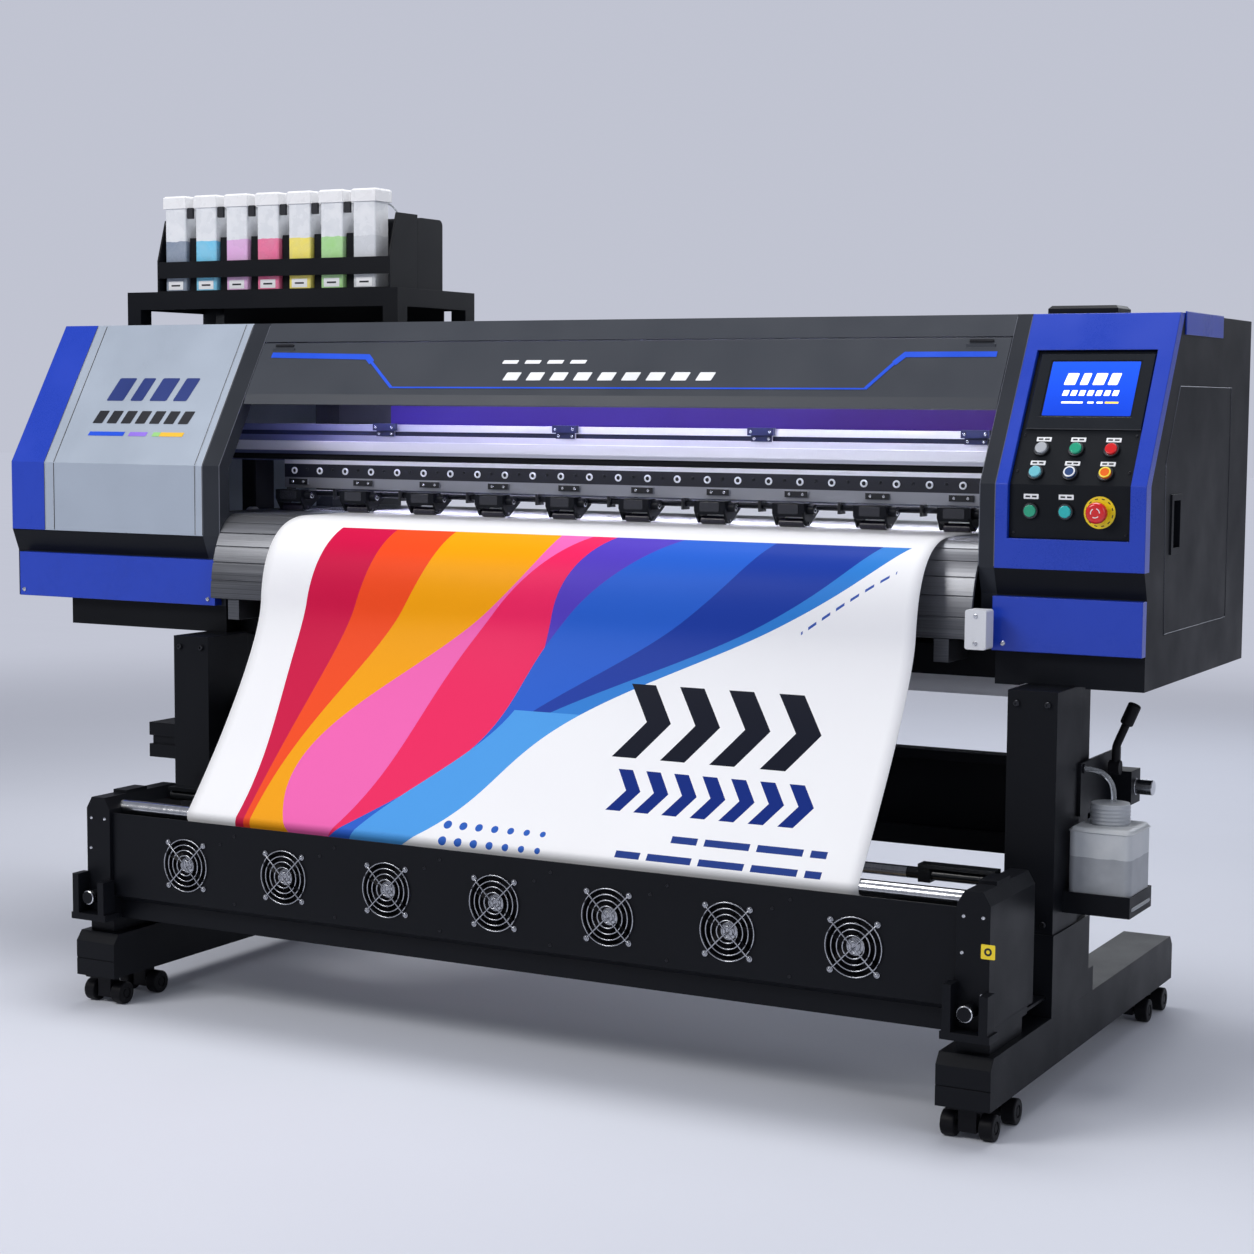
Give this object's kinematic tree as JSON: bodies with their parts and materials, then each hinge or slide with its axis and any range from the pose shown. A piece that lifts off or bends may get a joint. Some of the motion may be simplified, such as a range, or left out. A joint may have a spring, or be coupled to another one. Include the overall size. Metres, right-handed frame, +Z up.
{
  "type": "wide format printer cutter",
  "caption": "Wide-format roll-to-roll flex printer with a cutter tool on its carriage, on a wheeled stand with a fan dryer and take-up.",
  "frame": {"origin": "on the floor, under the middle of the whole machine", "axes": "+X along the machine towards the control panel (operator's right), -Y out of the front, +Z up"},
  "size_m": [2.739, 1.178, 1.776],
  "materials": {
    "stand_black": "fine textured powder coat",
    "chassis_black": "satin powder coat",
    "bulkhead_grey": "satin paint",
    "cabinet_grey": "fine textured paint",
    "silver_cover": "satin metallic paint",
    "blue_trim": "satin gloss moulding",
    "beam_grey": "satin paint",
    "panel_black": "fine matt",
    "screen_glass": "clear over a lit display",
    "bezel_metal": "satin black",
    "estop_yellow": "gloss",
    "button_red": "gloss",
    "button_green": "gloss",
    "button_teal": "gloss",
    "button_cyan": "gloss",
    "button_navy": "gloss",
    "button_orange": "gloss",
    "button_grey": "gloss",
    "beam_aluminium": "brushed and anodised",
    "belt_black": "toothed belt",
    "carriage_black": "fine matt",
    "arm_plastic": "glass-filled nylon",
    "pinch_rubber": "smooth",
    "grit_steel": "grit coated",
    "platen_aluminium": "brushed",
    "heater_aluminium": "brushed dark anodised",
    "sensor_white": "satin",
    "media_vinyl": "printed coated banner",
    "guard_wire": "plated wire",
    "fan_plastic": "moulded",
    "polished_steel": "polished",
    "core_board": "spiral wound tube with wound sheet",
    "lever_black": "soft grip",
    "bottle_clear": "translucent",
    "hose_clear": "clear tube",
    "tank_clear": "translucent tank",
    "caster_plastic": "moulded",
    "caster_rubber": "moulded twin wheels"
  },
  "bodies": {
    "machine": {"bay_bulkheads": "bulkhead_grey", "button_bezels": "bezel_metal", "capping_station": "arm_plastic", "carriage_drive": "belt_black", "caster_forks": "caster_plastic", "control_panel": "panel_black", "dryer_box": "stand_black", "estop_plate": "estop_yellow", "fan_guards": "guard_wire", "fans": "fan_plastic", "feed_motor": "stand_black", "front_heater": "heater_aluminium", "guide_bar": "polished_steel", "guide_beam": "beam_aluminium", "head_chassis": "chassis_black", "ink_rack": "stand_black", "ink_shelf": "stand_black", "ink_tanks": "tank_clear", "left_end_cover": "silver_cover", "left_side_panel": "cabinet_grey", "left_trim": "blue_trim", "media": "media_vinyl", "media_sensor": "sensor_white", "platen": "platen_aluminium", "rear_beam": "stand_black", "right_cabinet": "cabinet_grey", "right_trim": "blue_trim", "shaft_brackets": "stand_black", "stand_columns": "stand_black", "stand_feet": "stand_black", "takeup_housings": "stand_black", "takeup_saddles": "stand_black", "top_cover": "beam_grey", "touch_screen": "screen_glass", "waste_bottle": "bottle_clear", "waste_hose": "hose_clear", "waste_tray": "stand_black"},
    "button_1": {"button_1": "button_grey"},
    "button_2": {"button_2": "button_green"},
    "button_3": {"button_3": "button_red"},
    "button_4": {"button_4": "button_cyan"},
    "button_5": {"button_5": "button_navy"},
    "button_6": {"button_6": "button_orange"},
    "button_7": {"button_7": "button_green"},
    "button_8": {"button_8": "button_teal"},
    "carriage": {"carriage": "carriage_black"},
    "caster_wheels_1": {"caster_wheels_1": "caster_rubber"},
    "caster_wheels_2": {"caster_wheels_2": "caster_rubber"},
    "caster_wheels_3": {"caster_wheels_3": "caster_rubber"},
    "caster_wheels_4": {"caster_wheels_4": "caster_rubber"},
    "clamp_lever": {"clamp_lever": "lever_black"},
    "estop_button": {"estop_button": "button_red"},
    "feed_shaft": {"feed_shaft": "polished_steel"},
    "front_cover": {"front_cover": "beam_grey"},
    "grit_roller": {"grit_roller": "grit_steel"},
    "pinch_arms": {"pinch_arms": "arm_plastic"},
    "pinch_rollers": {"pinch_rollers": "pinch_rubber"},
    "side_door": {"side_door": "cabinet_grey"},
    "takeup_shaft": {"takeup_shaft": "core_board"},
    "tension_bar": {"tension_bar": "polished_steel"}
  },
  "joints": [
    {"name": "front_cover_lift", "type": "hinge", "parent": "machine", "child": "front_cover", "pos_m": [0.1465, 0.0325, 1.421], "axis": [-1, 0, 0], "range_deg": [0, 88]},
    {"name": "side_door_swing", "type": "hinge", "parent": "machine", "child": "side_door", "pos_m": [1.368, 0.4515, 1.09], "axis": [0, 0, 1], "range_deg": [0, 110]},
    {"name": "carriage_travel", "type": "slide", "parent": "machine", "child": "carriage", "axis": [-1, 0, 0], "range_m": [0, 1.9]},
    {"name": "grit_roller_turn", "type": "hinge", "parent": "machine", "child": "grit_roller", "pos_m": [0.1, 0.084, 1.0207], "axis": [1, 0, 0], "continuous": true},
    {"name": "pinch_arms_lift", "type": "hinge", "parent": "machine", "child": "pinch_arms", "pos_m": [0.1, 0.128, 1.075], "axis": [-1, 0, 0], "range_deg": [0, 11]},
    {"name": "pinch_rollers_turn", "type": "hinge", "parent": "pinch_arms", "child": "pinch_rollers", "pos_m": [0.1, 0.084, 1.0434], "axis": [1, 0, 0], "continuous": true},
    {"name": "tension_bar_turn", "type": "hinge", "parent": "machine", "child": "tension_bar", "pos_m": [0.215, -0.485, 0.418], "axis": [1, 0, 0], "continuous": true},
    {"name": "takeup_turn", "type": "hinge", "parent": "machine", "child": "takeup_shaft", "pos_m": [0.215, -0.405, 0.3], "axis": [1, 0, 0], "continuous": true},
    {"name": "feed_shaft_turn", "type": "hinge", "parent": "machine", "child": "feed_shaft", "pos_m": [0.215, 0.125, 0.545], "axis": [1, 0, 0], "continuous": true},
    {"name": "clamp_lever_swing", "type": "hinge", "parent": "machine", "child": "clamp_lever", "pos_m": [1.2525, 0.06, 0.59], "axis": [-1, 0, 0], "range_deg": [0, 75]},
    {"name": "button_1_press", "type": "slide", "parent": "machine", "child": "button_1", "axis": [0, 0.8533, -0.5215], "range_m": [0, 0.003], "stiffness_N_per_m": 400, "springref_m": -0.001},
    {"name": "button_2_press", "type": "slide", "parent": "machine", "child": "button_2", "axis": [0, 0.8533, -0.5215], "range_m": [0, 0.003], "stiffness_N_per_m": 400, "springref_m": -0.001},
    {"name": "button_3_press", "type": "slide", "parent": "machine", "child": "button_3", "axis": [0, 0.8533, -0.5215], "range_m": [0, 0.003], "stiffness_N_per_m": 400, "springref_m": -0.001},
    {"name": "button_4_press", "type": "slide", "parent": "machine", "child": "button_4", "axis": [0, 0.8533, -0.5215], "range_m": [0, 0.003], "stiffness_N_per_m": 400, "springref_m": -0.001},
    {"name": "button_5_press", "type": "slide", "parent": "machine", "child": "button_5", "axis": [0, 0.8533, -0.5215], "range_m": [0, 0.003], "stiffness_N_per_m": 400, "springref_m": -0.001},
    {"name": "button_6_press", "type": "slide", "parent": "machine", "child": "button_6", "axis": [0, 0.8533, -0.5215], "range_m": [0, 0.003], "stiffness_N_per_m": 400, "springref_m": -0.001},
    {"name": "button_7_press", "type": "slide", "parent": "machine", "child": "button_7", "axis": [0, 1, 0], "range_m": [0, 0.003], "stiffness_N_per_m": 400, "springref_m": -0.001},
    {"name": "button_8_press", "type": "slide", "parent": "machine", "child": "button_8", "axis": [0, 1, 0], "range_m": [0, 0.003], "stiffness_N_per_m": 400, "springref_m": -0.001},
    {"name": "estop_press", "type": "slide", "parent": "machine", "child": "estop_button", "axis": [0, 1, 0], "range_m": [0, 0.006], "stiffness_N_per_m": 800, "springref_m": -0.001},
    {"name": "caster_wheels_1_roll", "type": "hinge", "parent": "machine", "child": "caster_wheels_1", "pos_m": [0.215, -0.52, 0.024], "axis": [1, 0, 0], "continuous": true},
    {"name": "caster_wheels_2_roll", "type": "hinge", "parent": "machine", "child": "caster_wheels_2", "pos_m": [0.215, -0.405, 0.024], "axis": [1, 0, 0], "continuous": true},
    {"name": "caster_wheels_3_roll", "type": "hinge", "parent": "machine", "child": "caster_wheels_3", "pos_m": [0.215, 0.425, 0.024], "axis": [1, 0, 0], "continuous": true},
    {"name": "caster_wheels_4_roll", "type": "hinge", "parent": "machine", "child": "caster_wheels_4", "pos_m": [0.215, 0.538, 0.024], "axis": [1, 0, 0], "continuous": true}
  ],
  "couplings": [
    {"joint": "pinch_rollers_turn", "follows": "grit_roller_turn", "ratio": -1.3333}
  ]
}
